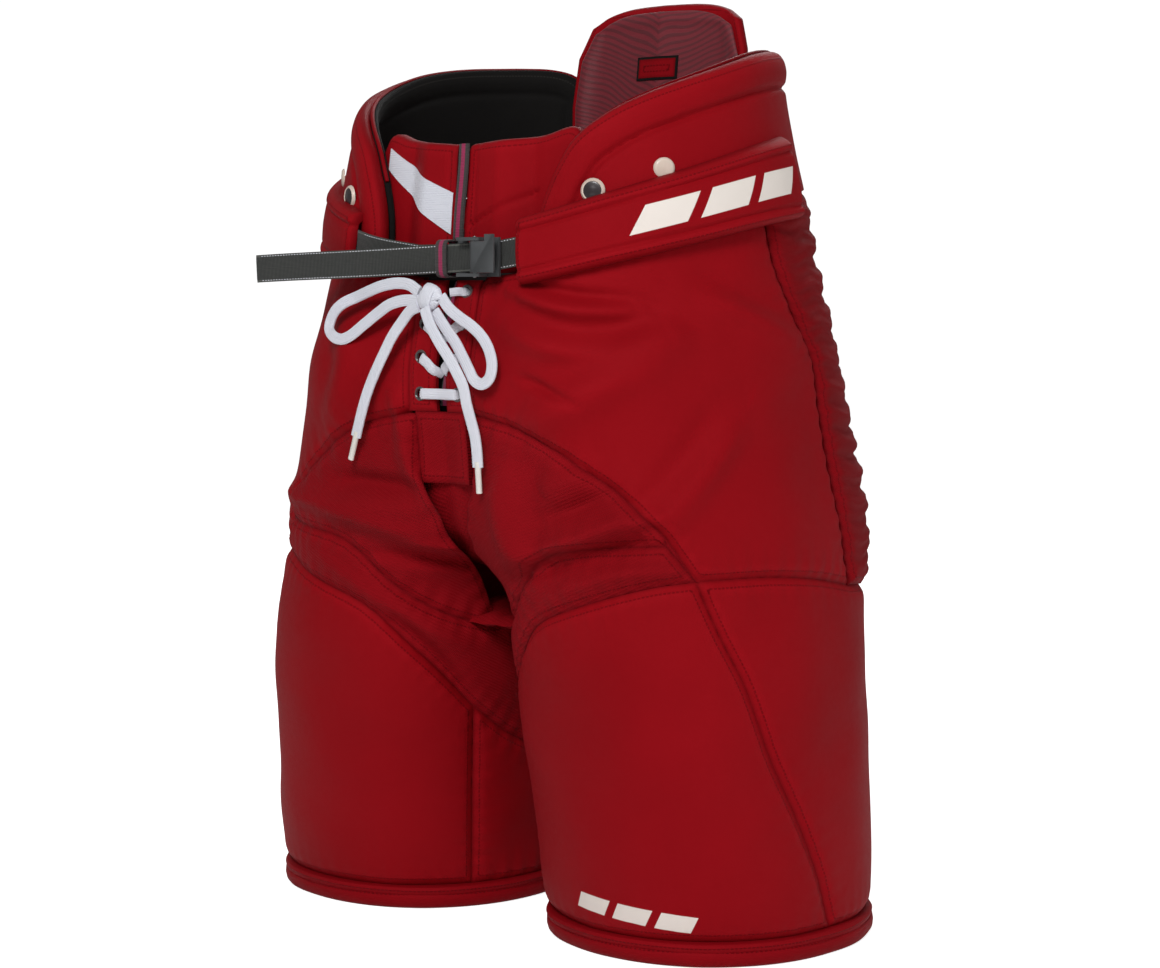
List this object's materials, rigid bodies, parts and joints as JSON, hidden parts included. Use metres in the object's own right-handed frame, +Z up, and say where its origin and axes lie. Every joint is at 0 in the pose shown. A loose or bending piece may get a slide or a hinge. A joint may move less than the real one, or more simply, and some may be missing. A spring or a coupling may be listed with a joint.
{
  "type": "ice hockey pants",
  "caption": "Padded ice hockey pants with foam thigh and hip pads, raised kidney and spine pads, a laced fly, a covered belt with a cam buckle and two swinging legs.",
  "frame": {"origin": "on the floor, midway between the two leg openings and midway from front to back", "axes": "+X to the wearer's left, -Y to the front, +Z up"},
  "size_m": [0.488, 0.3086, 0.677],
  "materials": {
    "shell_cloth": "woven nylon shell over foam, deep red with a soft sheen",
    "trim_cloth": "folded and stitched shell cloth at the leg opening",
    "stretch_mesh": "matte red stretch cloth with a fine knit",
    "gathered_cloth": "gathered stretch cloth, darker red",
    "liner_cloth": "near-black brushed knit over thin foam",
    "lining_cloth": "plain dark lining",
    "printed_lining": "crimson lining with a tone on tone wave print",
    "belt_webbing": "dark grey webbing with pale stitched edges",
    "binding_tape": "dark grey tape with a magenta stripe",
    "buckle_plastic": "moulded dark grey nylon",
    "snap_dark": "dark press stud with a pale rim",
    "snap_pale": "cream press stud",
    "guard_plastic": "moulded polyethylene, hidden inside the pads",
    "pin_steel": "plain steel pin",
    "lace": "flat braided white lace",
    "lace_tip": "clear film tip with a pale end"
  },
  "bodies": {
    "torso": {"mesh_panel_left": "stretch_mesh", "mesh_panel_right": "stretch_mesh", "hip_panel_left": "shell_cloth", "hip_panel_right": "shell_cloth", "hip_back_left": "gathered_cloth", "hip_back_right": "gathered_cloth", "hip_guard_left": "guard_plastic", "hip_guard_right": "guard_plastic", "kidney_pad_left": "shell_cloth", "kidney_pad_right": "shell_cloth", "kidney_liner_left": "liner_cloth", "kidney_liner_right": "liner_cloth", "belly_pad_left": "shell_cloth", "belly_pad_right": "shell_cloth", "snap_front_left": "snap_dark", "snap_front_right": "snap_dark", "snap_side_left": "snap_pale", "snap_side_right": "snap_pale", "belt_cover_left": "shell_cloth", "belt_cover_right": "shell_cloth", "belt_webbing_left": "belt_webbing", "belt_webbing_right": "belt_webbing", "fly_flap_left": "shell_cloth", "fly_flap_right": "shell_cloth", "buckle_frame": "buckle_plastic", "lever_pin": "pin_steel", "belt_keeper": "binding_tape", "fly_underlay": "shell_cloth", "fly_patch": "stretch_mesh", "fly_binding": "binding_tape", "crotch_gusset": "stretch_mesh", "seat_panel": "shell_cloth", "tail_guard": "guard_plastic", "waist_lining": "lining_cloth", "spine_pad": "shell_cloth", "spine_liner": "printed_lining", "lace_loop_left": "lace", "lace_loop_right": "lace", "lace_tail_left": "lace", "lace_tail_right": "lace", "lace_aglet_left": "lace_tip", "lace_aglet_right": "lace_tip", "lace_knot": "lace", "fly_lacing": "lace"},
    "left_leg": {"hem_band_left": "trim_cloth", "thigh_front_left": "shell_cloth", "thigh_side_left": "shell_cloth", "inner_gusset_left": "shell_cloth", "thigh_band_left": "stretch_mesh", "thigh_guard_left": "guard_plastic", "leg_lining_left": "lining_cloth"},
    "right_leg": {"hem_band_right": "trim_cloth", "thigh_front_right": "shell_cloth", "thigh_side_right": "shell_cloth", "inner_gusset_right": "shell_cloth", "thigh_band_right": "stretch_mesh", "thigh_guard_right": "guard_plastic", "leg_lining_right": "lining_cloth"},
    "lever": {"buckle_lever": "buckle_plastic"},
    "strap_end": {"belt_tail": "belt_webbing"}
  },
  "joints": [
    {"name": "left_leg_swing", "type": "hinge", "parent": "torso", "child": "left_leg", "pos_m": [0, 0.004, 0.27], "axis": [-1, 0, 0], "range_deg": [-8, 20], "deforming": ["thigh_band_left", "mesh_panel_left", "hip_panel_left", "hip_back_left", "crotch_gusset"]},
    {"name": "right_leg_swing", "type": "hinge", "parent": "torso", "child": "right_leg", "pos_m": [0, 0.004, 0.27], "axis": [-1, 0, 0], "range_deg": [-8, 20], "deforming": ["thigh_band_right", "mesh_panel_right", "hip_panel_right", "hip_back_right"]},
    {"name": "lever_pivot", "type": "hinge", "parent": "torso", "child": "lever", "pos_m": [0.033, -0.14322, 0.481], "axis": [0, 0, -1], "range_deg": [0, 75]},
    {"name": "strap_pull", "type": "slide", "parent": "torso", "child": "strap_end", "axis": [-0.9978, -0.06, -0.0279], "range_m": [0, 0.012]}
  ]
}
